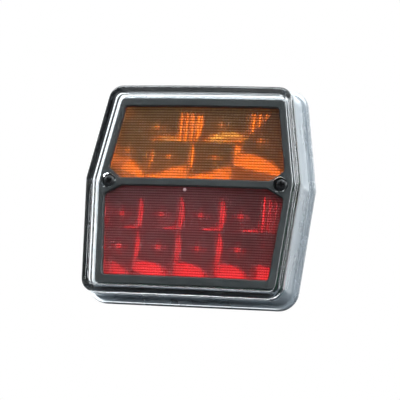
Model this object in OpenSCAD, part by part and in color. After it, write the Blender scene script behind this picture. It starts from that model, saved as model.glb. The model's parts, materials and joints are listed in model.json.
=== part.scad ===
// Rear lamp for a trailer: clear hexagonal cover, dark mask, amber and red lens,
// LED board on a black base, two mounting studs and a cable tail.
// Millimetres. +Z is up, the lens faces -Y, the mounting face is the plane y = 0,
// and the origin is midway between the two studs. Left is -X.

/* [Overall size] */
// Overall width across the flange
lamp_w = 104; // [102:0.5:108]
// Overall height across the flange
lamp_h = 98; // [97:0.5:102]
// How far the flange stands out past the side walls
flange = 2.3; // [1.8:0.1:3]
// Depth from the mounting face to the rim's crest
body_depth = 21; // [20.5:0.25:24]
// Half width of the body at its top edge
top_half_w = 41.9; // [41:0.1:43]
// Half width of the body at its bottom edge
bottom_half_w = 46; // [45:0.1:47]
// Height of the widest point above the centre line
wide_z = 4.4; // [4:0.1:5]
// Radius of the four outer corners
corner_r = 6.5; // [5.6:0.1:8]
// Radius of the two side points
side_r = 3; // [1:0.5:5]
// Radius of the front's sideways curve
crown_r = 650; // [500:10:1200]

/* [Cover] */
// Thickness of the clear cover's side wall
wall_t = 2.6; // [2.2:0.1:2.8]
// Width of the rim's crest
rim_w = 3.5; // [3:0.1:4]
// How deep the front panel lies below the crest
panel_drop = 3.1; // [2.5:0.1:3.3]
// Thickness of the clear front panel
panel_t = 1.8; // [1.5:0.1:2]
// Thickness of the clear flange
flange_t = 2.35; // [1.8:0.05:3]

/* [Mask and lenses] */
// Inset of the mask's edge from the side walls
mask_inset = 4.85; // [4.4:0.05:5.5]
// Thickness of the mask
mask_t = 1.6; // [1.2:0.1:1.8]
// Thickness of the coloured lenses
lens_t = 2; // [1.6:0.1:2.1]

/* [Base] */
// Thickness of the base plate
base_t = 1.6; // [1.4:0.05:1.65]
// Height of the base's inner wall above the mounting face
upstand_h = 6.5; // [5:0.1:7]

/* [Fasteners] */
// Distance between the two mounting studs
stud_spacing = 45; // [42:1:48]
// Radius of each stud's plain neck (M5)
stud_r = 2.5; // [2.3:0.05:2.6]
// How far each stud stands out of the mounting face
stud_len = 19.5; // [16:0.5:30]
// Length of each stud's plain neck
neck_len = 6; // [4:0.5:6]
// Distance of each cover screw from the centre line
screw_x = 40.15; // [39.9:0.05:40.4]
// Height of the cover screws
screw_z = 4.1; // [3.9:0.1:4.3]

/* [Electrics] */
// Number of red light cells across
red_cols = 4; // [3:1:4]
// Spacing of the red cells across
red_pitch_x = 18.5; // [17:0.1:18.5]
// Spacing of the two rows of red cells
red_pitch_z = 14.8; // [14:0.1:15.5]
// Length of the cable's sheath behind the mounting face
cable_len = 36; // [20:1:80]
// Height of the cable outlet, below the studs
cable_z = -16.7; // [-17.2:0.1:-16.2]

/* [Hidden] */
$fn = 48;

// ---- outlines, counter-clockwise from the front; every point is [x, z] ----
half_w = lamp_w / 2 - flange;
half_h = lamp_h / 2 - flange;
body_points = [[-bottom_half_w, -half_h], [bottom_half_w, -half_h], [half_w, wide_z],
               [top_half_w, half_h], [-top_half_w, half_h], [-half_w, wide_z]];
body_radii = [corner_r, corner_r, side_r, corner_r, corner_r, side_r];
amber_window = [[-34.75, 5.65], [34.75, 5.65], [40.8, 10.3],
                [35.7, 38.2], [-35.7, 38.2], [-40.8, 10.3]];
red_window = [[-38.2, -38], [38.2, -38], [41.6, -2.1],
              [33.9, 2.1], [-33.9, 2.1], [-41.6, -2.1]];
window_r = 1.4;

function unit(v) = v / norm(v);
// outward normal of the edge between two points
function edge_normal(from, to) = let (along = unit(to - from)) [along[1], -along[0]];
// the outline moved outward by `grow`
function grown(points, grow) = [for (i = [0:len(points) - 1])
    let (count = len(points), corner = points[i],
         normal_in = edge_normal(points[(i + count - 1) % count], corner),
         normal_out = edge_normal(corner, points[(i + 1) % count]))
    corner + grow * (normal_in + normal_out) / (1 + normal_in * normal_out)];
// the outline with each corner rounded to its own radius, in its own number of steps
function rounded(points, radii, steps) = [for (i = [0:len(points) - 1])
    let (count = len(points), corner = points[i], r = radii[i],
         to_last = unit(points[(i + count - 1) % count] - corner),
         to_next = unit(points[(i + 1) % count] - corner),
         half_angle = acos(to_last * to_next) / 2,
         centre = corner + unit(to_last + to_next) * r / sin(half_angle),
         arm0 = corner + to_last * r / tan(half_angle) - centre,
         arm1 = corner + to_next * r / tan(half_angle) - centre,
         start = atan2(arm0[1], arm0[0]),
         sweep = atan2(arm0[0] * arm1[1] - arm0[1] * arm1[0], arm0 * arm1))
    for (k = [0:steps[i]])
        let (angle = start + sweep * k / steps[i]) centre + r * [cos(angle), sin(angle)]];
function body_outline(grow) =
    rounded(grown(body_points, grow), [for (r = body_radii) max(1.5, r + grow)], [5, 5, 2, 5, 5, 2]);
function window_outline(points, grow) =
    rounded(grown(points, grow), [for (i = points) window_r + max(0, grow)], [for (i = points) 3]);

// ---- depths, counted back from the crest on the centre line ----
layer_gap = 0.1;
panel_back = panel_drop + panel_t;
mask_front = panel_back + layer_gap;
mask_back = mask_front + mask_t;
lens_front = mask_back + layer_gap;
lens_back = lens_front + lens_t;
reflector_front = lens_back + layer_gap;

// ---- places along y; the front of a part has the lower y ----
crest = -body_depth;
cover_back = -base_t - 0.05;
board_front = -4.6;
board_t = 1.2;
board_back = board_front + board_t;
reflector_back = -6.4;
cup_floor = -12.6; // seat of each cover screw, in the mask

// ---- places of repeated parts, each [x, z], left one first ----
screw_places = [for (side = [-1, 1]) [side * screw_x, screw_z]];
stud_places = [for (side = [-1, 1]) [side * stud_spacing / 2, 0]];
board_screw_places = [[-31.5, 37.5], [31.5, 37.5], [-25, -36.5], [25, -36.5]];
cable_place = [0, cable_z];
core_ring_r = 1.5;
core_places = [for (angle = [45:90:315]) cable_place + core_ring_r * [cos(angle), sin(angle)]];

// light cells: x, z, radius of the bowl's mouth
red_x0 = -34.4;
red_z0 = -9.3;
red_bowl_r = 6.8;
red_cells = [for (i = [0:red_cols - 1], j = [0:1])
    [red_x0 + i * red_pitch_x, red_z0 - j * red_pitch_z, red_bowl_r]];
amber_cells = [[-23, 31, 7.2], [8, 31.5, 7.2], [-36, 20, 4.2],
               [-16, 17, 7.2], [5.5, 17, 7.2], [27, 25, 7.2]];

// ---- shared shapes ----
// children's +Z turned to the lamp's front or back, at [x, z] and y
module facing_front(place, y) translate([place[0], y, place[1]]) rotate([90, 0, 0]) children();
module facing_back(place, y) translate([place[0], y, place[1]]) rotate([-90, 0, 0]) children();
module prism(points, y_back, y_front)
    facing_front([0, 0], y_back) linear_extrude(height = y_back - y_front) polygon(points);
module rod(place, y_back, y_front, r, sides = 48)
    facing_front(place, y_back) cylinder(r = r, h = y_back - y_front, $fn = sides);
module rods(places, y_back, y_front, r, sides = 48)
    for (place = places) rod(place, y_back, y_front, r, sides);
module ring(place, y_back, y_front, r_out, r_in) difference() {
    rod(place, y_back, y_front, r_out);
    rod(place, y_back + 1, y_front - 1, r_in);
}
// everything behind the crowned surface that lies `depth` behind the crest
module behind(depth)
    translate([0, crest + crown_r, -80]) cylinder(r = crown_r - depth, h = 160, $fn = 256);
// a plate of the given outline between two crowned surfaces
module crowned(points, front, back) difference() {
    intersection() {
        prism(points, -5, crest - 2);
        behind(front);
    }
    behind(back);
}
// cross recess in a screw head, turned by `turn`
module cross_recess(place, y, size, turn) for (angle = [turn, turn + 90])
    translate([place[0], y, place[1]]) rotate([0, angle, 0]) cube(size, center = true);

// ---- base ----
base_lip = 0.9; // the plate's edge, out past the side walls
upstand_gap = 0.3; // between the inner wall and the cover
upstand_t = 1.6;
post_root = -base_t / 2; // posts start inside the plate
screw_post_front = -10.6;
screw_post_r = 3.4;
board_post_r = 2.3;
boss_r = 7;
stud_head_front = -3.3;
stud_head_r = 4.6;
shoulder_r = stud_r + 0.9;
head_gap = 0.03;
shoulder_gap = 0.02;
cable_hole_r = 5.2;

module base_housing() color([0.06, 0.065, 0.07]) difference() {
    union() {
        prism(body_outline(base_lip), 0, -base_t);
        difference() {
            prism(body_outline(-wall_t - upstand_gap), post_root, -upstand_h);
            prism(body_outline(-wall_t - upstand_gap - upstand_t), -base_t, -upstand_h - 1);
        }
        rods(screw_places, post_root, screw_post_front, screw_post_r);
        rods(stud_places, post_root, stud_head_front, boss_r);
        rods(board_screw_places, post_root, board_back, board_post_r);
    }
    rods(screw_places, -2.2, -11, 1.5);
    // pockets for the studs' hex heads and shoulders
    rods(stud_places, -1.1, -4, stud_head_r + head_gap, 6);
    rods(stud_places, 1, -2, shoulder_r + shoulder_gap);
    rods(board_screw_places, -1.1, -4, 0.95);
    rod(cable_place, 1, -3, cable_hole_r);
}

// ---- cover and its seal ----
groove_inset = 0.6;
groove_w = 1.4;
groove_depth = 1.2;
seal_gap = 0.05;
screw_well_r = 3.15;

module outer_cover() color([0.9, 0.93, 0.95, 0.3]) difference() {
    union() {
        intersection() {
            prism(body_outline(0), cover_back, crest - 2);
            behind(0);
        }
        prism(body_outline(flange), cover_back, cover_back - flange_t);
    }
    // hollow inside
    intersection() {
        prism(body_outline(-wall_t), 1, crest);
        behind(panel_back);
    }
    // sunken front panel
    difference() {
        prism(body_outline(-rim_w), -10, crest - 3);
        behind(panel_drop);
    }
    // seal groove in the back edge
    difference() {
        prism(body_outline(-groove_inset), 1, -base_t - groove_depth);
        prism(body_outline(-groove_inset - groove_w), 2, -base_t - 2);
    }
    rods(screw_places, -10, crest - 1, screw_well_r);
}

module cover_seal() color([0.1, 0.1, 0.1]) difference() {
    prism(body_outline(-groove_inset - seal_gap), -base_t, -base_t - groove_depth + seal_gap);
    prism(body_outline(-groove_inset - groove_w + seal_gap), 0, -base_t - 2);
}

// ---- mask, with a cup for each cover screw ----
cup_floor_t = 1.4;
cup_front = -14;
cup_r = 4;
cup_bore_r = 3.1;
cup_hole_r = 1.7;

module mask_frame() color([0.19, 0.2, 0.2]) difference() {
    union() {
        crowned(body_outline(-mask_inset), mask_front, mask_back);
        rods(screw_places, cup_floor + cup_floor_t, cup_front, cup_r);
    }
    for (points = [amber_window, red_window]) prism(window_outline(points, 0), 0, crest - 3);
    rods(screw_places, cup_floor, crest, cup_bore_r);
    rods(screw_places, 0, crest, cup_hole_r);
}

// ---- lenses, a little larger than the mask's windows ----
lens_overlap = 0.5;
lens_notch_r = 4.3;

module tinted_lens(points) difference() {
    crowned(window_outline(points, lens_overlap), lens_front, lens_back);
    rods(screw_places, 0, crest, lens_notch_r);
}
module amber_lens() color([1, 0.45, 0.05, 0.8]) tinted_lens(amber_window);
module red_lens() color([0.75, 0.05, 0.05, 0.8]) tinted_lens(red_window);

// ---- reflectors ----
reflector_inset = 6.2;
reflector_notch_r = 4.4;
bowl_floor_r = 3;
bowl_depth = 7.2;
leg_r = 1.5;
amber_bottom = 4.1;
red_top = 3.7;
reflector_reach = 60; // cut height, beyond the body's top and bottom
amber_legs = [[-6.5, 25], [17.5, 25.5]];
red_legs = [for (i = [0, 2]) [red_x0 + (i + 0.5) * red_pitch_x, red_z0 - red_pitch_z / 2]];

// a metallised block with one round bowl for each light, on short legs
module reflector(z_low, z_high, cells, legs) color([0.75, 0.76, 0.78]) {
    difference() {
        intersection() {
            difference() {
                prism(body_outline(-reflector_inset), reflector_back, crest);
                rods(screw_places, 0, crest, reflector_notch_r);
            }
            translate([-80, -40, z_low]) cube([160, 60, z_high - z_low]);
            behind(reflector_front);
        }
        for (cell = cells) {
            facing_front(cell, reflector_back)
                cylinder(r1 = bowl_floor_r, r2 = cell[2], h = bowl_depth);
            rod(cell, 0, reflector_back - 0.5, bowl_floor_r);
        }
    }
    rods(legs, board_front, reflector_back - 0.5, leg_r);
}
module amber_reflector() reflector(amber_bottom, reflector_reach, amber_cells, amber_legs);
module red_reflector() reflector(-reflector_reach, red_top, red_cells, red_legs);

// ---- circuit board and its parts ----
board_inset = wall_t + 2.2;
led_size = [3.5, 2.8, 1.1];
led_dome_r = 1.2;
led_h = 1.6;
resistor_t = 0.6;
regulator_size = [6.4, 1.4, 6];
regulator_z = 16;

module circuit_board() color([0.05, 0.3, 0.14]) difference() {
    prism(body_outline(-board_inset), board_back, board_front);
    rods(screw_places, 0, -10, 3.7);
    rods(board_screw_places, 0, -10, 1.2);
    rods(core_places, 0, -10, 0.5, 24);
}

// surface-mount lights: square package with a low dome
module smd_leds(cells) for (cell = cells) facing_front(cell, board_front) {
    translate([-led_size[0] / 2, -led_size[1] / 2, 0]) cube(led_size);
    cylinder(r = led_dome_r, h = led_h, $fn = 32);
}
module amber_leds() color([0.95, 0.8, 0.3]) smd_leds(amber_cells);
module red_leds() color([0.9, 0.35, 0.3]) smd_leds(red_cells);

// a row of box-shaped parts on the board's front, centred on z
module chip_row(count, x0, pitch, z, size) for (i = [0:count - 1])
    translate([x0 + i * pitch - size[0] / 2, board_front - size[1], z - size[2] / 2]) cube(size);
module resistors() color([0.08, 0.08, 0.09]) {
    chip_row(count = 6, x0 = -12, pitch = 4.8, z = 8.2, size = [3.2, resistor_t, 1.6]);
    chip_row(count = 5, x0 = -9.5, pitch = 4.8, z = -34, size = [1.6, resistor_t, 3.2]);
}
module diodes() color([0.12, 0.12, 0.12])
    chip_row(count = 3, x0 = 9, pitch = 3.4, z = -1.5, size = [2.4, 1.1, 4.2]);
module capacitors() color([0.72, 0.6, 0.42])
    chip_row(count = 4, x0 = -9, pitch = -2.6, z = -1, size = [1.6, 1, 3.2]);
// on the board's back
module regulator() color([0.07, 0.07, 0.08])
    translate([-regulator_size[0] / 2, board_back, regulator_z]) cube(regulator_size);

// ---- licence-plate light, looking out through the clear left wall ----
plate_tilt = atan((half_w - bottom_half_w) / (half_h + wide_z));
plate_z = -20;
plate_inset = 5; // of the board's outer face
plate_board_t = 0.8;
plate_board_front = -12;
plate_board_h = 14;
plate_led_size = [1.1, 3, 2.8];
plate_led_front = -10.6;
plate_led_z = 3.5; // above and below the board's middle

module on_left_wall(z, inset)
    translate([-half_w + (wide_z - z) * tan(plate_tilt) + inset, 0, z])
        rotate([0, -plate_tilt, 0]) children();
module plate_light_board() color([0.9, 0.9, 0.88])
    on_left_wall(plate_z, plate_inset + plate_board_t / 2)
        translate([-plate_board_t / 2, plate_board_front, -plate_board_h / 2])
            cube([plate_board_t, board_front - plate_board_front, plate_board_h]);
module plate_light_leds() color([0.95, 0.9, 0.6])
    on_left_wall(plate_z, plate_inset) for (side = [-1, 1])
        translate([-plate_led_size[0], plate_led_front, side * plate_led_z - plate_led_size[2] / 2])
            cube(plate_led_size);

// ---- screws ----
module board_screws() color([0.75, 0.75, 0.76]) for (place = board_screw_places) difference() {
    union() {
        rod(place, board_front, board_front - 1.2, 2.1);
        rod(place, -1.4, board_front, 0.9);
    }
    cross_recess(place, board_front - 1.1, [2.6, 1, 0.5], 0);
}

// pan-head cross-recess screw that holds the cover
module cover_screw(place) color([0.25, 0.25, 0.26]) difference() {
    union() {
        rod(place, cup_floor - 0.8, cup_floor - 2.6, 2.75);
        rod(place, -2.8, cup_floor - 1, 1.45);
    }
    cross_recess(place, cup_floor - 2.4, [3.2, 2, 0.75], 45);
}
module cover_screw_left() cover_screw(screw_places[0]);
module cover_screw_right() cover_screw(screw_places[1]);
module screw_seals() color([0.05, 0.05, 0.05])
    for (place = screw_places) ring(place, cup_floor, cup_floor - 0.75, 2.6, 1.6);

// ---- M5 studs, washers and nuts ----
thread_r = stud_r - 0.08;
groove_r = stud_r - 0.6;
washer_front = neck_len + 0.6;
washer_back = washer_front + 1;
spring_back = washer_back + 1.3;
nut_front = spring_back + 0.05;
nut_t = 4.05;
nut_r = 4.62; // across the corners
nut_bevel = 0.5;
nut_face_r = 4.1;
nut_round_r = 4.9;

// hex head and shoulder held in the base, plain neck, relief groove, threaded end
module stud(place) color([0.8, 0.78, 0.7]) {
    rod(place, -1.15, stud_head_front, stud_head_r, 6);
    rod(place, 0, -2, shoulder_r);
    rod(place, neck_len, -1, stud_r);
    rod(place, neck_len + 1.2, 1, groove_r);
    difference() {
        rod(place, stud_len, neck_len + 0.8, thread_r);
        // bevelled tip
        facing_back(place, stud_len - 0.7) difference() {
            cylinder(r = 4, h = 2);
            translate([0, 0, -0.01]) cylinder(r1 = stud_r, r2 = stud_r - 1.2, h = 1.2);
        }
    }
}
module stud_left() stud(stud_places[0]);
module stud_right() stud(stud_places[1]);

module flat_washer(place) color([0.78, 0.78, 0.75]) ring(place, washer_back, washer_front, 5, 2.65);
module flat_washer_left() flat_washer(stud_places[0]);
module flat_washer_right() flat_washer(stud_places[1]);

// split at the top by a slanted slit
module spring_washer(place) color([0.7, 0.7, 0.68]) difference() {
    ring(place, spring_back, washer_back, 4.4, 2.6);
    translate([place[0], neck_len + 2.2, 3.5]) rotate([0, 0, 25]) cube([0.6, 4, 3.4], center = true);
}
module spring_washer_left() spring_washer(stud_places[0]);
module spring_washer_right() spring_washer(stud_places[1]);

module hex_nut(place) color([0.8, 0.8, 0.76]) difference() {
    intersection() {
        rod(place, nut_front + nut_t, nut_front, nut_r, 6);
        facing_back(place, nut_front) union() {
            cylinder(r1 = nut_face_r, r2 = nut_round_r, h = nut_bevel);
            translate([0, 0, nut_bevel]) cylinder(r = nut_round_r, h = nut_t - 2 * nut_bevel);
            translate([0, 0, nut_t - nut_bevel])
                cylinder(r1 = nut_round_r, r2 = nut_face_r, h = nut_bevel);
        }
    }
    rod(place, neck_len + 8, neck_len, stud_r);
}
module nut_left() hex_nut(stud_places[0]);
module nut_right() hex_nut(stud_places[1]);

// ---- cable ----
sleeve_r = 5.15;
core_end = cable_len + 12;
copper_end = cable_len + 20;

// rubber sleeve with an inner flange and three ribs, pushed out through the base plate
module cable_grommet() color([0.04, 0.04, 0.04]) difference() {
    union() {
        rod(cable_place, 0.6, -base_t - 0.05, sleeve_r);
        rod(cable_place, -base_t - 0.02, -base_t - 1, 6.6);
        facing_back(cable_place, 0.5) cylinder(r1 = sleeve_r, r2 = 4.1, h = 7);
        for (i = [0:2]) rod(cable_place, 2.6 + i * 1.8, 1.8 + i * 1.8, 5.1 - i * 0.15);
    }
    rod(cable_place, 10, -5, 3.25);
}
module cable_sheath() color([0.05, 0.05, 0.05]) difference() {
    rod(cable_place, cable_len, -2.6, 3.2);
    rods(core_places, cable_len + 1, -4, 0.85, 24);
}
// one core's insulation, `extra` longer than the shortest
module core(place, extra) difference() {
    rod(place, core_end + extra, -3.2, 0.8, 24);
    rod(place, copper_end + extra, -4, 0.45, 24);
}
module core_white() color([0.92, 0.92, 0.9]) core(core_places[0], 0);
module core_yellow() color([0.95, 0.8, 0.1]) core(core_places[1], 2);
module core_brown() color([0.35, 0.18, 0.08]) core(core_places[2], 1);
module core_red() color([0.8, 0.08, 0.06]) core(core_places[3], 3);
module copper_conductors() color([0.8, 0.45, 0.25])
    rods(core_places, copper_end, board_front - 0.9, 0.42, 24);
module solder_joints() color([0.75, 0.76, 0.77]) for (place = core_places) difference() {
    facing_front(place, board_front) cylinder(r1 = 0.95, r2 = 0.6, h = 0.7, $fn = 24);
    rod(place, board_front + 1, board_front - 2, 0.43, 24);
}

base_housing();
outer_cover();
mask_frame();
amber_lens();
red_lens();
cover_seal();
amber_reflector();
red_reflector();
circuit_board();
amber_leds();
red_leds();
resistors();
diodes();
capacitors();
regulator();
plate_light_board();
plate_light_leds();
board_screws();
cover_screw_left();
cover_screw_right();
screw_seals();
stud_left();
stud_right();
flat_washer_left();
flat_washer_right();
spring_washer_left();
spring_washer_right();
nut_left();
nut_right();
cable_grommet();
cable_sheath();
core_white();
core_yellow();
core_brown();
core_red();
copper_conductors();
solder_joints();
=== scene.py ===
"""A lamp with an amber window above a red one, bolted on by two studs.

The mounting face is the plane y = 0. The lit front looks along -Y, the studs point along +Y,
X runs to the right as seen from the front and Z is up. Shapes are worked out in mm.
Outlines are lists of (x, z) points, counter-clockwise as seen from the front.
"""

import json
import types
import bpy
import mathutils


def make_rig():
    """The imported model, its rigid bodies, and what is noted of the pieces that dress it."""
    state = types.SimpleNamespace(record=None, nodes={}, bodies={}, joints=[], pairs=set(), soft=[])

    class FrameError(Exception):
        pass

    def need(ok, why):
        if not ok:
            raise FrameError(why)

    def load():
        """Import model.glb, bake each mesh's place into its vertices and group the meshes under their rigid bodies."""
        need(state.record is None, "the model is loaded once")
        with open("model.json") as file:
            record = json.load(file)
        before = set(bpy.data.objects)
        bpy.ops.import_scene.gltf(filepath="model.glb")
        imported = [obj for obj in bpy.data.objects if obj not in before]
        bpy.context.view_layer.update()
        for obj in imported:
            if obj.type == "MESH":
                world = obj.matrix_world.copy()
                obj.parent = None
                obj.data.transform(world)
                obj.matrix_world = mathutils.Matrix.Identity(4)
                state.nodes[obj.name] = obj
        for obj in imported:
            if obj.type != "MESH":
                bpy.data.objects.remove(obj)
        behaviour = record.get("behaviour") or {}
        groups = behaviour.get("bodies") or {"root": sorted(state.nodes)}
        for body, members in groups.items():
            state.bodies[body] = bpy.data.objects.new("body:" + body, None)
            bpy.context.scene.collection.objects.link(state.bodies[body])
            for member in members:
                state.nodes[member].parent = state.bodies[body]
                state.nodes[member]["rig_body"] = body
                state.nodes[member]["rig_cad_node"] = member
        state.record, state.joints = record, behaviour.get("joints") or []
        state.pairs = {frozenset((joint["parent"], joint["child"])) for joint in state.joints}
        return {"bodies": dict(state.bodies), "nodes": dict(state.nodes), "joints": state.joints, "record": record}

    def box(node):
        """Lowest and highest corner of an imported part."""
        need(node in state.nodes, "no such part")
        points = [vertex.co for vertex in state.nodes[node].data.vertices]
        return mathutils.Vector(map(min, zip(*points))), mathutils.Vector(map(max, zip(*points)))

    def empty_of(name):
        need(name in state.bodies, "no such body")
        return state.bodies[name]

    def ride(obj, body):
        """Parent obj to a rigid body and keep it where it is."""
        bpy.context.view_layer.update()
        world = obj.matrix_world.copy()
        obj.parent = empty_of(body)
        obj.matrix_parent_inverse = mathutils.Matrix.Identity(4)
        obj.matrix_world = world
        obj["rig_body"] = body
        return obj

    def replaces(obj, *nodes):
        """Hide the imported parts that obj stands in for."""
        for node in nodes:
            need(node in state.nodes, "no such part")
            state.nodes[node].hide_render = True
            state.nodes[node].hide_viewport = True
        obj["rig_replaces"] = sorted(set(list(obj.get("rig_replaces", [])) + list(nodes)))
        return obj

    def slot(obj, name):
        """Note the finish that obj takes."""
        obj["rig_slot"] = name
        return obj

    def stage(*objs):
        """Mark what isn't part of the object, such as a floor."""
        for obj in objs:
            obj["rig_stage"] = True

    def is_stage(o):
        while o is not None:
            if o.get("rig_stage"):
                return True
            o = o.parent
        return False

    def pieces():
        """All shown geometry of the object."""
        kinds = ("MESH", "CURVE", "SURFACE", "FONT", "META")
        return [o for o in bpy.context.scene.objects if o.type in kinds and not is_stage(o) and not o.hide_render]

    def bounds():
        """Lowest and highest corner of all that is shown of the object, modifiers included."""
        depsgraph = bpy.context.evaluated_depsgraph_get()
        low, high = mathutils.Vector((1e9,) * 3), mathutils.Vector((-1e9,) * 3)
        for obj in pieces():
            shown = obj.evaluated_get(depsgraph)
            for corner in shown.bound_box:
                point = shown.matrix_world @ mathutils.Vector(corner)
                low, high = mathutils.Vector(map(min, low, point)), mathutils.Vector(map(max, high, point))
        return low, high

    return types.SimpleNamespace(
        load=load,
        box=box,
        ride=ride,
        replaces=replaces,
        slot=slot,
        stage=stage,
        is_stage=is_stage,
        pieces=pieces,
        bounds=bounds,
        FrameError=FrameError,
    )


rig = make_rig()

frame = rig.load()

import json
import math

import bmesh
import bpy
from mathutils import Matrix, Vector
from mathutils.geometry import delaunay_2d_cdt

CAD_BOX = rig.bounds()
MM = 0.001
SIDES = {"left": -1, "right": 1}

# ------------------------------------------------------------------ main sizes, mm
FLANGE = 2.3                                # the cover's flange stands this far outside its wall
cover_lo, cover_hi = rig.box("outer_cover")
DEPTH = -cover_lo.y * 1000.0                # mounting face to rim crest, on the centre line
HALF_W = round(cover_hi.x * 1000.0 * 2) / 2 - FLANGE
HALF_H = round(cover_hi.z * 1000.0 * 2) / 2 - FLANGE
WIDEST_Z, HALF_TOP, HALF_BOTTOM = 4.4, 41.9, 46.0
CROWN_R = 650.0                             # front surfaces curve in x by this radius

# depths behind the crest
PANEL_FRONT, PANEL_BACK = 3.1, 4.9
MASK_FRONT, MASK_BACK = 5.0, 6.6
LENS_FRONT, LENS_BACK = 6.7, 8.7
REFLECTOR_FRONT, RIDGE = 8.8, 11.6          # reflector rim, and ridges between its cells

# y of flat levels
BOARD_Y = -4.6                              # front of the circuit board
BOWL_FLOOR_Y = -5.5
BASE_T = 1.6                                # thickness of the base
STUD_X = 22.5

screw_lo, screw_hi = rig.box("cover_screw_right")
SCREW_X, SCREW_Z = (screw_lo.x + screw_hi.x) * 500.0, (screw_lo.z + screw_hi.z) * 500.0
cable_lo, cable_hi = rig.box("cable_grommet")
CABLE_Z = (cable_lo.z + cable_hi.z) * 500.0
STUD_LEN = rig.box("stud_left")[1].y * 1000.0

BODY_CORNERS = [(-HALF_BOTTOM, -HALF_H), (HALF_BOTTOM, -HALF_H), (HALF_W, WIDEST_Z),
                (HALF_TOP, HALF_H), (-HALF_TOP, HALF_H), (-HALF_W, WIDEST_Z)]
BODY_RADII = [6.5, 6.5, 3.0, 6.5, 6.5, 3.0]
AMBER_WINDOW = [(-34.75, 5.65), (34.75, 5.65), (40.8, 10.3), (35.7, 38.2), (-35.7, 38.2), (-40.8, 10.3)]
RED_WINDOW = [(-38.2, -38.0), (38.2, -38.0), (41.6, -2.1), (33.9, 2.1), (-33.9, 2.1), (-41.6, -2.1)]


# ------------------------------------------------------------------ outlines and surfaces
def grown(corners, by):
    """The outline with every side moved outwards."""
    out = []
    for i in range(len(corners)):
        before, here, after = (Vector(corners[k % len(corners)]) for k in (i - 1, i, i + 1))
        e1, e2 = (here - before).normalized(), (after - here).normalized()
        n1, n2 = Vector((e1.y, -e1.x)), Vector((e2.y, -e2.x))
        out.append(here + by * (n1 + n2) / (1 + n1.dot(n2)))
    return out


def rounded(corners, radii, segments, step=None):
    """Rounds each corner. Straight runs are cut into pieces of about `step`, or by a list of counts."""
    count, arcs, out = len(corners), [], []
    for i in range(count):
        here, r, seg = Vector(corners[i]), radii[i], segments[i]
        a = (Vector(corners[i - 1]) - here).normalized()
        b = (Vector(corners[(i + 1) % count]) - here).normalized()
        half = math.acos(max(-1, min(1, a.dot(b)))) / 2
        centre = here + (a + b).normalized() * r / math.sin(half)
        s0 = here + a * r / math.tan(half) - centre
        s1 = here + b * r / math.tan(half) - centre
        start = math.atan2(s0.y, s0.x)
        turn = math.atan2(s0.x * s1.y - s0.y * s1.x, s0.dot(s1))
        angles = [start + turn * k / seg for k in range(seg + 1)]
        arcs.append([centre + r * Vector((math.cos(t), math.sin(t))) for t in angles])
    for i in range(count):
        out += arcs[i]
        if step:
            s, e = arcs[i][-1], arcs[(i + 1) % count][0]
            pieces = step[i] if isinstance(step, list) else max(1, round((e - s).length / step))
            out += [s.lerp(e, k / pieces) for k in range(1, pieces)]
    return out


def body_outline(by):
    radii = [max(0.7, r + by) for r in BODY_RADII]
    return rounded(grown(BODY_CORNERS, by), radii, [8, 8, 3, 8, 8, 3], [40, 18, 14, 36, 14, 18])


def window(corners, by):
    return rounded(grown(corners, by), [1.4 + by] * 6, [4] * 6, 2.0)


def rectangle(x0, x1, z0, z1):
    return [(x0, z0), (x1, z0), (x1, z1), (x0, z1)]


def circle(cx, cz, r, count=40):
    angles = [2 * math.pi * k / count for k in range(count)]
    return [Vector((cx + r * math.cos(a), cz + r * math.sin(a))) for a in angles]


def screw_circles(r, count=40):
    return [circle(s * SCREW_X, SCREW_Z, r, count) for s in (-1, 1)]


def crown(depth):
    """y of the crowned surface `depth` behind the crest, as a function of x and z."""
    r = CROWN_R - depth
    return lambda x, z: -DEPTH + depth + r - math.sqrt(r * r - x * x)


def surface(y):
    """A plain number stands for a flat surface at that y."""
    return y if callable(y) else (lambda x, z: y)


def shell_rings(profile):
    """profile: (distance outside the body outline, y or surface)."""
    return [(body_outline(by), y) for by, y in profile]


def inside(point, outline):
    x, z = point
    hit = False
    j = len(outline) - 1
    for i in range(len(outline)):
        xi, zi = outline[i]
        xj, zj = outline[j]
        if (zi > z) != (zj > z) and x < (xj - xi) * (z - zi) / (zj - zi) + xi:
            hit = not hit
        j = i
    return hit


def edge_distance(point, outline):
    best = 1e9
    for i in range(len(outline)):
        a, b = outline[i - 1], outline[i]
        ab = b - a
        t = 0
        if ab.length_squared >= 1e-12:
            t = max(0, min(1, (point - a).dot(ab) / ab.length_squared))
        best = min(best, (a + ab * t - point).length)
    return best


def region(outer, holes, points, lines, margin):
    """Triangles over an outline with holes: (2D points, triangles).
    points are extra inner ones, kept `margin` off the edges; lines join pairs of them."""
    verts, edges = [], []
    for loop in [outer] + list(holes):
        base = len(verts)
        verts += [Vector(p) for p in loop]
        edges += [(base + i, base + (i + 1) % len(loop)) for i in range(len(loop))]
    kept = {}
    for i, p in enumerate(points):
        p = Vector(p)
        if not inside(p, outer) or any(inside(p, h) for h in holes):
            continue
        if margin and min(edge_distance(p, loop) for loop in [outer] + list(holes)) < margin:
            continue
        kept[i] = len(verts)
        verts.append(p)
    edges += [(kept[a], kept[b]) for a, b in lines if a in kept and b in kept]
    result = delaunay_2d_cdt(verts, edges, [], 0, 1e-6)
    flat_verts, triangles = result[0], []
    for face in result[2]:
        a, b, c = (flat_verts[k] for k in face)
        e1, e2 = b - a, c - a
        if abs(e1.x * e2.y - e1.y * e2.x) < 1e-3 * max(e1.length, e2.length, (e1 - e2).length):
            continue                        # a sliver
        middle = (a + b + c) / 3
        if inside(middle, outer) and not any(inside(middle, h) for h in holes):
            triangles.append(tuple(face))
    return flat_verts, triangles


def grid_points(outline, step):
    xs, zs = [p[0] for p in outline], [p[1] for p in outline]
    points = []
    x = math.floor(min(xs) / step) * step
    while x < max(xs):
        z = math.floor(min(zs) / step) * step
        while z < max(zs):
            points.append((x, z))
            z += step
        x += step
    return points


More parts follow.
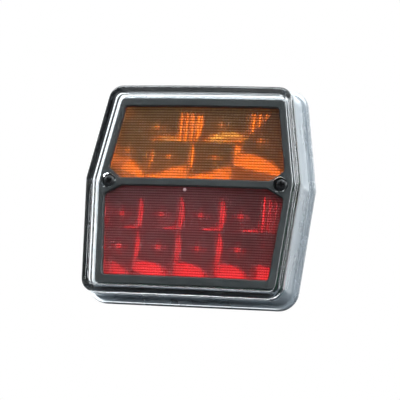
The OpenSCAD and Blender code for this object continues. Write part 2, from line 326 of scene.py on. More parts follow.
class Build:
    """Collects geometry in mm and makes one object."""

    def __init__(self):
        self.bm = bmesh.new()

    def verts(self, points, y):
        y_at = surface(y)
        new = self.bm.verts.new
        return [new((p[0] * MM, y_at(p[0], p[1]) * MM, p[1] * MM)) for p in points]

    def face(self, verts, slot=0):
        # rings that touch can ask for a face that exists or has no area
        try:
            f = self.bm.faces.new(verts)
            f.smooth = True
            f.material_index = slot
        except ValueError:
            pass

    def cap(self, outer, y, holes=(), step=None, front=True, slot=0,
            points=(), lines=(), margin=0, slot_of=None):
        """Fills an outline on a surface, facing -Y if front; step adds a grid of inner points."""
        if step:
            points, margin = grid_points(outer, step), step * 0.45
        flat_verts, triangles = region(outer, holes, points, lines, margin)
        made = self.verts(flat_verts, y)
        for triangle in triangles:
            a, b, c = (made[i] for i in triangle)
            p, q, r = (flat_verts[i] for i in triangle)
            ccw = (q.x - p.x) * (r.y - p.y) - (q.y - p.y) * (r.x - p.x) > 0
            order = (a, b, c) if ccw == front else (a, c, b)
            self.face(order, slot_of(p, q, r) if slot_of else slot)

    def sweep(self, rings, slot=0):
        """Joins rings, each (outline, y or surface), all with the same number of points."""
        made = [self.verts(loop, y) for loop, y in rings]
        count = len(made[0])
        for a, b in zip(made, made[1:]):
            for i in range(count):
                j = (i + 1) % count
                self.face((a[i], a[j], b[j], b[i]), slot)

    def turned(self, x, z, profile, count=40, slot=0):
        """A skin turned about a line along y; profile: (radius, y or surface)."""
        self.sweep([(circle(x, z, r, count), y) for r, y in profile], slot)

    def done(self, name, mats, body, node, slot, sharp=None, weighted=True):
        """Makes the object; edges bent by more than `sharp` degrees stay sharp."""
        bm = self.bm
        bmesh.ops.remove_doubles(bm, verts=bm.verts, dist=2e-6)
        bmesh.ops.dissolve_degenerate(bm, edges=bm.edges, dist=1e-7)
        bmesh.ops.recalc_face_normals(bm, faces=bm.faces)
        if sharp:
            for e in bm.edges:
                if len(e.link_faces) == 2 and e.calc_face_angle(0) > math.radians(sharp):
                    e.smooth = False
        mesh = bpy.data.meshes.new(name)
        bm.to_mesh(mesh)
        bm.free()
        ob = bpy.data.objects.new(name, mesh)
        bpy.context.scene.collection.objects.link(ob)
        for key in mats:
            mesh.materials.append(MAT[key])
        if weighted:
            normals = ob.modifiers.new("wn", "WEIGHTED_NORMAL")
            normals.keep_sharp = True
            normals.weight = 60
        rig.ride(ob, body)
        if node:
            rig.replaces(ob, node)
        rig.slot(ob, slot)


# ------------------------------------------------------------------ shader helpers
def fill(made, inputs):
    """Sets a node's inputs by name or index; a socket is linked, anything else is a value."""
    for key, value in inputs.items():
        if isinstance(value, bpy.types.NodeSocket):
            made.id_data.links.new(value, made.inputs[key])
        else:
            made.inputs[key].default_value = value


def node(tree, kind, inputs={}, **settings):
    made = tree.nodes.new("ShaderNode" + kind)
    for key, value in settings.items():
        setattr(made, key, value)
    fill(made, inputs)
    return made


def new_material(name):
    """(material, node tree, Principled shader, output node)"""
    m = bpy.data.materials.new(name)
    m.use_nodes = True
    tree = m.node_tree
    return m, tree, tree.nodes["Principled BSDF"], tree.nodes["Material Output"]


def object_coords(tree):
    return node(tree, "TexCoord").outputs["Object"]


def noise(tree, coord, scale, detail, rough):
    inputs = {"Scale": scale, "Detail": detail, "Roughness": rough, "Vector": coord}
    return node(tree, "TexNoise", inputs).outputs["Fac"]


def mottle(tree, source, dark, light):
    """Colour between two tones, by a noise from 0.3 to 0.7."""
    ramp = node(tree, "ValToRGB", {"Fac": source})
    for stop, position, tone in zip(ramp.color_ramp.elements, (0.3, 0.7), (dark, light)):
        stop.position = position
        stop.color = (*tone, 1)
    return ramp.outputs["Color"]


def map_range(tree, source, from_min, from_max, to_min, to_max, **settings):
    inputs = {"From Min": from_min, "From Max": from_max, "To Min": to_min, "To Max": to_max,
              "Value": source}
    return node(tree, "MapRange", inputs, **settings).outputs["Result"]


def bump(tree, height, strength, distance):
    inputs = {"Strength": strength, "Distance": distance, "Height": height}
    return node(tree, "Bump", inputs).outputs["Normal"]


def math_node(tree, operation, a, b):
    return node(tree, "Math", {0: a, 1: b}, operation=operation).outputs[0]


# ------------------------------------------------------------------ materials
def plastic(name, dark, light, rough, grain=900.0, grain_height=0.00002, strength=0.3,
            coat=0.0, specular=0.5):
    """Moulded plastic: mottled colour, roughness that varies, and a fine moulded grain."""
    m, tree, shader, _ = new_material(name)
    coord = object_coords(tree)
    blotches = noise(tree, coord, scale=60.0, detail=4, rough=0.6)
    wear = noise(tree, coord, scale=260.0, detail=3, rough=0.5)
    grit = noise(tree, coord, scale=grain, detail=2, rough=0.6)
    fill(shader, {
        "Base Color": mottle(tree, blotches, dark, light),
        "Roughness": map_range(tree, wear, 0.3, 0.7, *rough),
        "Normal": bump(tree, grit, strength, grain_height),
        "Specular IOR Level": specular,
        "Coat Weight": coat,
        "Coat Roughness": 0.06,
    })
    return m


def domed(name, body, painted_glow, amount):
    """Clear light dome: glossy, with the warm tint of the chip below showing through, plus a painted glow: a weak
    emission that brightens the unlit dome where its hole leaves it in shade.
    """
    m = plastic(name, dark=tuple(c * 0.9 for c in body), light=body, rough=(0.08, 0.2),
                grain=1500.0, coat=0.8)
    shader = m.node_tree.nodes["Principled BSDF"]
    # painted glow: the emission stands in for light on the shaded domes of the unlit LEDs
    fill(shader, {"Emission Color": (*painted_glow, 1), "Emission Strength": amount})
    return m


def metal(name, dark, light, rough, scale, stretch=None):
    """Metal with fine marks of the given noise scale, drawn out by `stretch` if given."""
    m, tree, shader, _ = new_material(name)
    coord = source = object_coords(tree)
    if stretch:
        source = node(tree, "Mapping", {"Scale": stretch, "Vector": coord}).outputs["Vector"]
    marks = noise(tree, source, scale=scale, detail=4, rough=0.6)
    blotches = noise(tree, coord, scale=120.0, detail=4, rough=0.6)
    fill(shader, {
        "Base Color": mottle(tree, blotches, dark, light),
        "Metallic": 1.0,
        "Roughness": map_range(tree, marks, 0.3, 0.7, *rough),
        "Normal": bump(tree, marks, strength=0.15, distance=0.00001),
    })
    return m


def see_through(name, tint, rough=(0.0, 0.012), shadow=(0.95, 0.96, 0.97), haze=0.0,
                haze_color=(0.9, 0.92, 0.92), outside=False, soft=0.0):
    """Clear plastic: refracts, with a faint moulding ripple; shadow rays pass with the tint."""
    m, tree, principled, out = new_material(name)
    tree.nodes.remove(principled)
    coord = object_coords(tree)
    waves = noise(tree, coord, scale=45.0, detail=2, rough=0.5)
    ripple = bump(tree, waves, strength=0.15, distance=0.000004)

    def glass(roughness):
        inputs = {"IOR": 1.49, "Color": (*tint, 1), "Roughness": roughness, "Normal": ripple}
        return node(tree, "BsdfGlass", inputs).outputs["BSDF"]

    body = glass(map_range(tree, waves, 0.35, 0.75, *rough))
    unlit = node(tree, "BsdfTransparent", {"Color": (*shadow, 1)}).outputs["BSDF"]
    is_shadow = node(tree, "LightPath").outputs["Is Shadow Ray"]
    final = node(tree, "MixShader", {"Fac": is_shadow, 2: unlit})
    if soft:
        # part of the light is spread a little by the moulded texture
        mixed = node(tree, "MixShader", {"Fac": soft, 1: body, 2: glass(0.3)})
        body = mixed.outputs["Shader"]
    if haze:
        diffuse = node(tree, "BsdfDiffuse", {"Color": (*haze_color, 1)}).outputs["BSDF"]
        if outside:
            # the haze lies on the outside only: rays inside the plastic see a clean face
            amount = map_range(tree, waves, 0.3, 0.7, haze * 0.85, haze * 1.15)
            behind = node(tree, "NewGeometry").outputs["Backfacing"]
            facing = math_node(tree, "SUBTRACT", 1.0, behind)
            amount = math_node(tree, "MULTIPLY", amount, facing)
        else:
            spots = noise(tree, coord, scale=700.0, detail=2, rough=0.5)
            amount = map_range(tree, spots, 0.3, 0.7, haze * 0.6, haze * 1.4)
        mixed = node(tree, "MixShader", {"Fac": amount, 1: body, 2: diffuse})
        body = mixed.outputs["Shader"]
    fill(final, {1: body})
    fill(out, {"Surface": final.outputs["Shader"]})
    return m


CLEAR = (0.985, 0.99, 0.99)
SIDE_HAZE = (0.56, 0.64, 0.70)
MAT = {
    "clear": see_through("clear_acrylic", CLEAR),
    "satin": see_through("clear_acrylic_satin", CLEAR, rough=(0.22, 0.30)),
    "side": see_through("clear_acrylic_side", CLEAR, haze=0.36, haze_color=SIDE_HAZE, outside=True),
    "side_satin": see_through("clear_acrylic_flange", CLEAR, rough=(0.18, 0.26), haze=0.34,
                              haze_color=SIDE_HAZE, outside=True),
}
# lens colour, part, tint, shadow tint, greatest roughness, haze
# the two groove parts are darker copies of each tint for the groove walls: painted shade, darkest in the level grooves
LENS_TINTS = [
    ("amber", "", (1.0, 0.62, 0.20), (1.0, 0.6, 0.2), 0.10, 0.034),
    ("amber", "_row", (0.42, 0.25, 0.08), (0.7, 0.4, 0.15), 0.12, 0.001),
    ("amber", "_column", (0.70, 0.43, 0.14), (0.8, 0.5, 0.2), 0.12, 0.004),
    ("red", "", (0.92, 0.28, 0.31), (0.9, 0.1, 0.1), 0.10, 0.034),
    ("red", "_row", (0.40, 0.12, 0.13), (0.6, 0.08, 0.08), 0.12, 0.001),
    ("red", "_column", (0.66, 0.20, 0.22), (0.7, 0.09, 0.09), 0.12, 0.004),
]
for colour, part, tint, shadow, rough_max, haze in LENS_TINTS:
    MAT[colour + part] = see_through(f"{colour}_acrylic{part}", tint, shadow=shadow,
                                     rough=(0.08, rough_max), haze=haze, soft=0.38)
MAT.update({
    "mask": plastic("mask_charcoal", dark=(0.012, 0.014, 0.014), light=(0.018, 0.021, 0.021),
                    rough=(0.32, 0.5), grain=1400.0),
    "base": plastic("base_black", dark=(0.020, 0.021, 0.023), light=(0.034, 0.036, 0.039),
                    rough=(0.16, 0.34), grain=700.0, grain_height=0.00001, strength=0.2, coat=0.3),
    "rubber": plastic("rubber_black", dark=(0.010, 0.010, 0.010), light=(0.022, 0.021, 0.020),
                      rough=(0.6, 0.85), grain=1600.0, grain_height=0.00003, strength=0.4,
                      specular=0.3),
    "chrome": metal("metallised", dark=(0.82, 0.83, 0.84), light=(0.91, 0.92, 0.93),
                    rough=(0.06, 0.15), scale=90.0),
    # a darker copy of the metallising for the bowls: painted shade, as the real reflector is coated alike
    "chrome_dull": metal("metallised_bowl", dark=(0.20, 0.21, 0.22), light=(0.28, 0.29, 0.30),
                         rough=(0.10, 0.20), scale=90.0),
    "zinc": metal("zinc_plate", dark=(0.60, 0.60, 0.57), light=(0.78, 0.78, 0.76),
                  rough=(0.2, 0.42), scale=900.0),
    "dark_steel": metal("black_steel", dark=(0.03, 0.03, 0.032), light=(0.10, 0.10, 0.10),
                        rough=(0.25, 0.45), scale=900.0),
    "copper": metal("copper_wire", dark=(0.62, 0.28, 0.16), light=(0.80, 0.42, 0.26),
                    rough=(0.25, 0.45), scale=1800.0, stretch=(1, 0.05, 1)),
    "solder": metal("solder", dark=(0.55, 0.56, 0.57), light=(0.75, 0.76, 0.78),
                    rough=(0.15, 0.35), scale=600.0),
    "pcb": plastic("solder_mask", dark=(0.006, 0.045, 0.022), light=(0.012, 0.075, 0.035),
                   rough=(0.25, 0.4), grain_height=0.00001, strength=0.2, coat=0.4),
    "pcb_white": plastic("white_board", dark=(0.62, 0.62, 0.6), light=(0.74, 0.74, 0.72),
                         rough=(0.3, 0.45)),
    "gate": plastic("gate_mark", dark=(0.62, 0.36, 0.38), light=(0.78, 0.50, 0.52),
                    rough=(0.3, 0.5), grain=1500.0),
    "chip": plastic("chip_epoxy", dark=(0.015, 0.015, 0.016), light=(0.03, 0.03, 0.032),
                    rough=(0.45, 0.65), grain=2500.0, strength=0.4),
    "ceramic": plastic("ceramic", dark=(0.32, 0.22, 0.12), light=(0.45, 0.33, 0.2),
                       rough=(0.35, 0.5), grain=2000.0),
    "led_body": plastic("led_body", dark=(0.40, 0.38, 0.34), light=(0.52, 0.50, 0.45),
                        rough=(0.3, 0.45), grain=1500.0),
    # both kinds of dome glow faintly as painted light; the lamp itself is off
    "led_amber": domed("led_amber", body=(0.9, 0.6, 0.2), painted_glow=(1.0, 0.55, 0.12), amount=0.9),
    "led_red": domed("led_red", body=(0.9, 0.42, 0.35), painted_glow=(1.0, 0.2, 0.15), amount=1.4),
    "led_white": plastic("led_white", dark=(0.8, 0.75, 0.45), light=(0.9, 0.85, 0.55),
                         rough=(0.15, 0.3), grain=1500.0, coat=0.5),
    "pvc_black": plastic("pvc_black", dark=(0.016, 0.016, 0.017), light=(0.03, 0.03, 0.031),
                         rough=(0.38, 0.55), grain_height=0.00003),
})
# cable cores: name, dark tone, light tone
for name, dark, light in (
    ("pvc_white", (0.62, 0.62, 0.6), (0.76, 0.76, 0.74)),
    ("pvc_yellow", (0.62, 0.42, 0.02), (0.78, 0.55, 0.04)),
    ("pvc_brown", (0.08, 0.03, 0.012), (0.14, 0.055, 0.02)),
    ("pvc_red", (0.42, 0.012, 0.010), (0.58, 0.02, 0.015)),
):
    MAT[name] = plastic(name, dark, light, rough=(0.35, 0.5))


# ------------------------------------------------------------------ clear outer cover
# (distance outside the body outline, y or surface), from the front panel round to its back
COVER_PROFILE = [
    # panel edge, groove and rim
    (-4.1, crown(PANEL_FRONT)), (-3.88, crown(3.05)), (-3.68, crown(2.88)), (-3.54, crown(2.6)),
    (-3.5, crown(2.2)), (-3.5, crown(0.85)), (-3.42, crown(0.5)), (-3.2, crown(0.22)),
    (-2.88, crown(0.06)), (-2.5, crown(0.0)), (-1.8, crown(-0.04)), (-1.15, crown(0.02)),
    (-0.72, crown(0.14)), (-0.36, crown(0.36)), (-0.1, crown(0.72)), (0, crown(1.2)),
    # outer wall, then the flange
    (0, crown(2.2)), (0, -5.2), (0.06, -4.7), (0.28, -4.3), (0.6, -4.08), (1.0, -4.0),
    (1.7, -4.0), (2.02, -3.92), (2.22, -3.7), (FLANGE, -3.4), (FLANGE, -1.9), (2.2, -1.72),
    (2.05, -1.65),
    # back face with a groove
    (-0.6, -1.65), (-0.6, -2.8), (-2.0, -2.8), (-2.0, -1.65), (-2.6, -1.65),
    # inner wall up to the back of the panel
    (-2.6, -3.0), (-2.6, crown(6.2)), (-2.68, crown(5.6)), (-2.95, crown(5.15)),
    (-3.4, crown(4.94)), (-3.9, crown(PANEL_BACK)),
]
SIDE_SLOT, FLANGE_SLOT = 2, 3
# (first ring, last ring, material slot) of each band of the profile
COVER_BANDS = [(0, 16, 0), (16, 18, SIDE_SLOT), (18, 28, FLANGE_SLOT), (28, 29, 0), (29, 32, 0),
               (32, 37, 0), (37, 39, 0)]
SATIN_FROM_X = 38.0


def make_cover():
    b = Build()
    front, back = crown(PANEL_FRONT), crown(PANEL_BACK)
    rings = shell_rings(COVER_PROFILE)
    for first, last, slot in COVER_BANDS:
        b.sweep(rings[first:last + 1], slot)
    holes, holes_back = screw_circles(3.35), screw_circles(3.15)
    b.cap(body_outline(-4.1), front, holes, step=2.5)
    b.cap(body_outline(-3.9), back, holes_back, step=2.5, front=False)
    for hole, hole_back in zip(holes, holes_back):
        b.sweep([(hole, front), (hole_back, crown(PANEL_FRONT + 0.2)), (hole_back, back)])
    # the flange is satin on the right only
    for f in b.bm.faces:
        if f.material_index == FLANGE_SLOT and f.calc_center_median().x < SATIN_FROM_X * MM:
            f.material_index = SIDE_SLOT
    b.done("clear_cover", ["clear", "satin", "side", "side_satin"], "cover", "outer_cover",
           "clear_cover", sharp=50)


# ------------------------------------------------------------------ mask behind the clear front
def make_mask():
    b = Build()
    front, back, slope_end = crown(MASK_FRONT), crown(MASK_BACK), crown(MASK_FRONT + 0.6)
    windows = (AMBER_WINDOW, RED_WINDOW)
    wide, narrow = ([window(w, by) for w in windows] for by in (0.55, 0.0))
    b.cap(body_outline(-5.1), front, wide + screw_circles(3.45), step=3.0)
    b.sweep(shell_rings([(-5.1, front), (-4.92, crown(MASK_FRONT + 0.08)),
                         (-4.85, crown(MASK_FRONT + 0.3)), (-4.85, back)]))
    for outer, inner in zip(wide, narrow):
        b.sweep([(outer, front), (inner, slope_end), (inner, back)])
    b.cap(body_outline(-4.85), back, narrow + screw_circles(3.9), step=4.0, front=False)
    # a cup round each cover screw
    for s in (-1, 1):
        b.turned(s * SCREW_X, SCREW_Z, [
            (3.45, front), (3.2, crown(MASK_FRONT + 0.25)), (3.1, slope_end), (3.1, -12.75),
            (2.95, -12.6), (1.7, -12.6), (1.7, -11.2), (3.7, -11.2), (3.9, -11.4), (3.9, back)])
    b.done("mask_panel", ["mask"], "cover", "mask_frame", "dark_mask", sharp=40)


# ------------------------------------------------------------------ prism lenses
def make_lens(colour, corners, pitch_x, pitch_z, depth, groove):
    """A coloured plate whose front is cut into small pads by crossed V grooves.
    groove is half the width of a V; only the crossings lie `depth` below the pads."""
    b = Build()
    edge = window(corners, 0.45)
    front, back = crown(LENS_FRONT), crown(LENS_BACK)
    xs, zs = [p[0] for p in edge], [p[1] for p in edge]
    i0, i1 = math.floor(min(xs) / pitch_x), math.ceil(max(xs) / pitch_x)
    j0, j1 = math.floor(min(zs) / pitch_z), math.ceil(max(zs) / pitch_z)
    points, lines, index, low = [], [], {}, set()
    for i in range(i0, i1 + 1):
        for j in range(j0, j1 + 1):
            index[i, j] = len(points)
            points.append((i * pitch_x, j * pitch_z))
            low.add((round(points[-1][0], 3), round(points[-1][1], 3)))
    for (i, j), k in index.items():
        for near in ((i + 1, j), (i, j + 1)):
            if near in index:
                lines.append((k, index[near]))
    for i in range(i0, i1):
        for j in range(j0, j1):
            a = len(points)
            points += rectangle(i * pitch_x + groove, (i + 1) * pitch_x - groove,
                                j * pitch_z + groove, (j + 1) * pitch_z - groove)
            lines += [(a, a + 1), (a + 1, a + 2), (a + 2, a + 3), (a + 3, a)]

    def is_low(x, z):
        return (round(x, 3), round(z, 3)) in low

    def cut(x, z):
        return front(x, z) + (depth if is_low(x, z) else 0.0)

    def slot_of(p, q, r):
        """Pads, walls of level grooves (rows) and walls of upright ones (columns); the groove walls take darker tints
        as painted shade.
        """
        if not any(is_low(*v) for v in (p, q, r)):
            return 0
        span_x = max(p.x, q.x, r.x) - min(p.x, q.x, r.x)
        span_z = max(p.y, q.y, r.y) - min(p.y, q.y, r.y)
        return 1 if span_x > span_z else 2

    b.cap(edge, cut, points=points, lines=lines, margin=0.1, slot_of=slot_of)
    b.cap(edge, back, step=2.5, front=False)
    b.sweep([(edge, front), (edge, back)])
    lens = colour + "_lens"
    b.done(colour + "_prism_lens", [colour, colour + "_row", colour + "_column"], "cover", lens,
           lens, weighted=False, sharp=8)


# ------------------------------------------------------------------ metallised reflectors
def clip(outline, point, normal):
    """The part of a convex outline on the side of the line that normal points away from."""
    out = []
    for i in range(len(outline)):
        a, b = outline[i], outline[(i + 1) % len(outline)]
        da, db = (a - point).dot(normal), (b - point).dot(normal)
        if da <= 0:
            out.append(a)
        if (da < 0 < db) or (db < 0 < da):
            out.append(a.lerp(b, da / (da - db)))
    return out


def without_repeats(outline):
    return [p for i, p in enumerate(outline) if (p - outline[i - 1]).length > 1e-3]


def densify(outline, step):
    out = []
    for i in range(len(outline)):
        a, b = outline[i], outline[(i + 1) % len(outline)]
        if (b - a).length < 1e-4:
            continue
        pieces = max(1, round((b - a).length / step))
        out += [a.lerp(b, k / pieces) for k in range(pieces)]
    return out


def bowl_rise(steepness, dx, dz):
    """How far a bowl comes forward at an offset from its LED; flat near the LED."""
    return steepness * max(0.0, dx ** 2 + dz ** 2 - 5.3)


def make_reflector(colour, cells, area):
    """One metallised shell: in each cell a bowl round its LED, with thin ridges between cells.
    cells: (LED x, LED z, bowl steepness or 0 for no LED, facets, convex outline).
    facets: (x, z, slope in x, slope in z) of planes that rise from the bowl floor."""
    b = Build()
    step, rim_width, back = 0.65, 0.6, BOARD_Y - 0.05
    front, ridge = crown(REFLECTOR_FRONT), crown(RIDGE)
    edge = densify(area, 1.2)
    holes, loops = [], []
    for cx, cz, steepness, facets, corners in cells:
        outline = [Vector(p) for p in corners]
        for i in range(len(area)):
            along = (area[(i + 1) % len(area)] - area[i]).normalized()
            outward = Vector((along.y, -along.x))
            outline = clip(outline, area[i] - outward * rim_width, outward)
        loop = densify(grown(without_repeats(outline), -0.1), step)
        hole = circle(cx, cz, 2.3, 20) if steepness else None

        def rises(x, z):
            planes = [gx * (x - px) + gz * (z - pz) for px, pz, gx, gz in facets]
            return bowl_rise(steepness, x - cx, z - cz), planes

        def bowl(x, z):
            rise, planes = rises(x, z)
            return max(BOWL_FLOOR_Y - max([rise] + planes), ridge(x, z))

        def finish(p, q, r):
            """Full metallising on the facets; the bowls take a darker copy of it as painted shade."""
            rise, planes = rises((p.x + q.x + r.x) / 3, (p.y + q.y + r.y) / 3)
            return 0 if any(plane > rise for plane in planes) else 1

        b.sweep([(loop, ridge), (loop, bowl)])
        b.cap(loop, bowl, [hole] if hole else [], step=step, slot_of=finish)
        if hole:
            # the wall round each LED hole takes the darker copy too: painted shade
            b.sweep([(hole, bowl), (hole, back)], 1)
            holes.append(hole)
        loops.append(loop)
    rim = densify(grown(area, -rim_width), 1.2)
    b.cap(edge, front, [rim])
    b.sweep([(rim, front), (rim, ridge)])
    b.cap(rim, ridge, loops, step=2.0)
    b.sweep([(edge, front), (edge, back)])
    b.cap(edge, back, holes, step=4.0, front=False)
    b.done(colour + "_reflector_cells", ["chrome", "chrome_dull"], "root", colour + "_reflector",
           "metallised", weighted=False, sharp=22)


FAR = 60.0                                  # beyond the edge of any reflector


def reflector_area(z_lo, z_hi):
    """The body outline drawn in, between two heights, with the corners at the screws cut off."""
    area = rounded(grown(BODY_CORNERS, -6.4), [1.5] * 6, [3] * 6)
    area = clip(area, Vector((0, z_lo)), Vector((0, -1)))
    area = clip(area, Vector((0, z_hi)), Vector((0, 1)))
    up = 1 if z_lo > 0 else -1
    for s in (-1, 1):
        towards = Vector((s, -up)).normalized()
        area = clip(area, Vector((s * SCREW_X, SCREW_Z)) - towards * 4.6, towards)
    return without_repeats(area)


BOWL = 0.012                                # steepness of a bowl
RIGHT_SLOPE, UP_SLOPE = -0.58, -0.44
STRIP_W = 3.7 / 0.58


def right_slope(x0, w=3.3):
    """A strip of width w beside the ridge at x0 that faces right."""
    return (x0 + w, 0.0, RIGHT_SLOPE, 0.0)


def up_band(z0, x):
    """Below z0 (at x) the bowl faces up and a little right."""
    return (x, z0, -0.13, UP_SLOPE)


def corner_facet(cx, cz, dx=3.0, dz=-5.0, gx=0.16):
    """A facet low on the right of a cell, facing up and a little left."""
    return (cx + dx - bowl_rise(BOWL, dx, dz) / gx, cz + dz, gx, UP_SLOPE)


def unlit(facets, corners):
    return (0.0, 0.0, 0.0, facets, corners)


def strips(x0, x1, count, z0, z1):
    """Narrow steps without a light, each facing right."""
    w = (x1 - x0) / count
    return [unlit([right_slope(x0 + w * i, STRIP_W)],
                  rectangle(x0 + w * i, x0 + w * (i + 1), z0, z1)) for i in range(count)]


def slanted_z(x):
    """Height of the slanted ridge at the upper right."""
    return 23.3 + 1.023 * (x - 18.4)


AMBER_CELLS = [
    (-23.0, 31.0, BOWL,
     [corner_facet(-23, 31, dx=2.0, dz=-4.5, gx=0.14), (-30.5, 34.0, -0.40, -0.10)],
     [(-33.5, FAR), (-33.5, 34.5), (-23.5, 23.5), (-11.4, 23.5), (-11.4, FAR)]),
    (7.0, 32.5, BOWL,
     [(14.5, 30.6, 0.10, -0.46), (0.4, 0.0, RIGHT_SLOPE, 0.0)],
     [(-3.9, 23.3), (18.4, 23.3), (21.4, 26.37), (21.4, FAR), (-3.9, FAR)]),
    (-36.0, 20.0, BOWL,
     [up_band(16.2, x=-34)],
     [(-FAR, -5), (-26.2, -5), (-23.5, 23.5), (-33.5, 34.5), (-FAR, 34.5)]),
    (-16.0, 17.5, BOWL,
     [right_slope(-25.4, 3.4), up_band(9.8, x=-15), corner_facet(-16, 17.5)],
     [(-26.2, -5), (-5.2, -5), (-5.2, 23.5), (-23.5, 23.5)]),
    (5.5, 17.5, BOWL,
     [right_slope(-5.2, 3.4), up_band(9.6, x=8), corner_facet(5.5, 17.5)],
     rectangle(-5.2, 15.2, -5, 23.3)),
    (26.0, 25.5, 0.006,
     [right_slope(15.2, 3.6), up_band(17.6, x=30)],
     [(15.2, -5), (37.4, -5), (37.4, 42.8), (18.4, 23.3), (15.2, 23.3)]),
]
AMBER_CELLS += strips(-11.4, -3.9, 3, 23.5, FAR) + strips(37.4, 40.4, 1, -5.0, 44.0)
# the steps above the slanted ridge: left x, right x, whether it slopes
for x0, x1, sloped in ((21.4, 24.4, True), (24.4, 27.4, True), (27.4, 30.4, True),
                       (30.4, 32.6, False), (32.6, 35.0, True)):
    AMBER_CELLS.append(unlit([right_slope(x0, STRIP_W)] if sloped else [],
                             [(x0, slanted_z(x0)), (x1, slanted_z(x1)), (x1, FAR), (x0, FAR)]))

RED_RIDGES_X = [-FAR, -26.6, -7.6, 11.4, 30.2]
RED_RIDGE_Z, RED_BAND_Z, RED_RIGHT = -16.3, -30.6, 40.2
RED_CELLS = []
for i in range(4):
    for j in range(2):
        cx, cz = -35.3 + 18.55 * i, -8.9 - 14.9 * j
        facets = [right_slope(RED_RIDGES_X[i])] if i else []
        facets.append(up_band(RED_BAND_Z, x=cx + 2) if j else corner_facet(cx, cz, dz=-5.7))
        z0, z1 = (-FAR, RED_RIDGE_Z) if j else (RED_RIDGE_Z, FAR)
        RED_CELLS.append((cx, cz, BOWL, facets,
                          rectangle(RED_RIDGES_X[i], RED_RIDGES_X[i + 1], z0, z1)))
RED_CELLS += strips(RED_RIDGES_X[-1], RED_RIGHT, 4, RED_RIDGE_Z, FAR)
RED_CELLS.append(unlit([up_band(RED_BAND_Z, x=34)],
                       rectangle(RED_RIDGES_X[-1], RED_RIGHT, -FAR, RED_RIDGE_Z)))


# ------------------------------------------------------------------ rear base moulding
UPSTAND_Y = -6.5                            # front edge of the inner upstand
UPSTAND_OUT, UPSTAND_IN = -2.9, -4.5        # its faces, from the body outline
# shallow pockets in the back: near x, far x, low z, high z; each is mirrored
POCKETS = [
    (20.2, 36.5, 13.5, 40.5), (1.2, 17.8, 13.5, 40.5), (22.0, 38.5, -40.5, -27.0),
    (1.2, 19.6, -40.5, -27.0), (33.0, 41.0, -24.5, -3.0), (12.0, 30.6, -24.5, -12.5),
    (33.0, 43.5, -0.6, 10.9),
]
MIDDLE_POCKET = (-11.5, 11.5, -6.5, 10.9)
BOARD_SCREWS = [(-31.5, 37.5), (31.5, 37.5), (-25, -36.5), (25, -36.5)]


def pocket(sides, by):
    return rounded(grown(rectangle(*sides), by), [1.6 + by] * 4, [4] * 4, 6.0)


def boss(b, x, z, r, hole, top, bottom):
    """A round boss on the front of the base with a blind hole."""
    back = -BASE_T
    b.turned(x, z, [(r + 0.35, back), (r + 0.1, back - 0.12), (r, back - 0.4),
                    (r - 0.05, top + 0.25), (r - 0.3, top)], 32)
    b.cap(circle(x, z, r - 0.3, 32), top, [circle(x, z, hole + 0.2, 32)])
    b.turned(x, z, [(hole + 0.2, top), (hole, top + 0.2), (hole, bottom)], 32)
    b.cap(circle(x, z, hole, 32), bottom)


def make_base():
    b = Build()
    necks = [circle(s * STUD_X, 0, 3.75) for s in (-1, 1)]
    cable = circle(0, CABLE_Z, 5.5, 48)
    spots = [(*sorted((s * x0, s * x1)), z0, z1) for s in (-1, 1) for x0, x1, z0, z1 in POCKETS]
    spots.append(MIDDLE_POCKET)
    b.cap(body_outline(0.55), 0, necks + [cable] + [pocket(q, 0.0) for q in spots], front=False)
    for q in spots:
        b.sweep([(pocket(q, 0.0), 0), (pocket(q, -0.18), -0.42), (pocket(q, -0.5), -0.6)])
        b.cap(pocket(q, -0.5), -0.6, front=False)
    b.sweep(shell_rings([(0.55, 0), (0.8, -0.08), (0.9, -0.32), (0.9, -1.3), (0.8, -1.52),
                         (0.6, -BASE_T)]))
    b.cap(body_outline(0.6), -BASE_T, [body_outline(UPSTAND_OUT)])
    b.sweep(shell_rings([
        (UPSTAND_OUT, -BASE_T), (UPSTAND_OUT, UPSTAND_Y + 0.3), (UPSTAND_OUT - 0.25, UPSTAND_Y),
        (UPSTAND_IN + 0.25, UPSTAND_Y), (UPSTAND_IN, UPSTAND_Y + 0.3), (UPSTAND_IN, -BASE_T)]))
    holes = screw_circles(3.75, 32) + [circle(x, z, 2.65, 32) for x, z in BOARD_SCREWS]
    stud_bosses = [circle(s * STUD_X, 0, 7.3, 48) for s in (-1, 1)]
    b.cap(body_outline(UPSTAND_IN), -BASE_T, holes + stud_bosses + [cable])
    for s in (-1, 1):
        boss(b, s * SCREW_X, SCREW_Z, r=3.4, hole=1.5, top=-10.6, bottom=-2.2)
        # stud boss with a hexagonal seat
        x = s * STUD_X
        seat = circle(x, 0, 4.63, 6)
        b.turned(x, 0, [(7.3, -BASE_T), (7.0, -BASE_T - 0.3), (7.0, -3.1), (6.8, -3.3)], 48)
        b.cap(circle(x, 0, 6.8, 48), -3.3, [seat])
        b.sweep([(seat, -3.3), (seat, -1.1)])
        b.cap(seat, -1.1, [circle(x, 0, 3.45)])
        b.turned(x, 0, [(3.45, -1.1), (3.45, -0.3), (3.75, 0)])
    for x, z in BOARD_SCREWS:
        boss(b, x, z, r=2.3, hole=0.95, top=-3.4, bottom=-1.1)
    b.turned(0, CABLE_Z, [(5.5, 0), (5.22, -0.28), (5.22, -BASE_T + 0.28), (5.5, -BASE_T)], 48)
    b.done("base_moulding", ["base"], "root", "base_housing", "black_base", sharp=30)


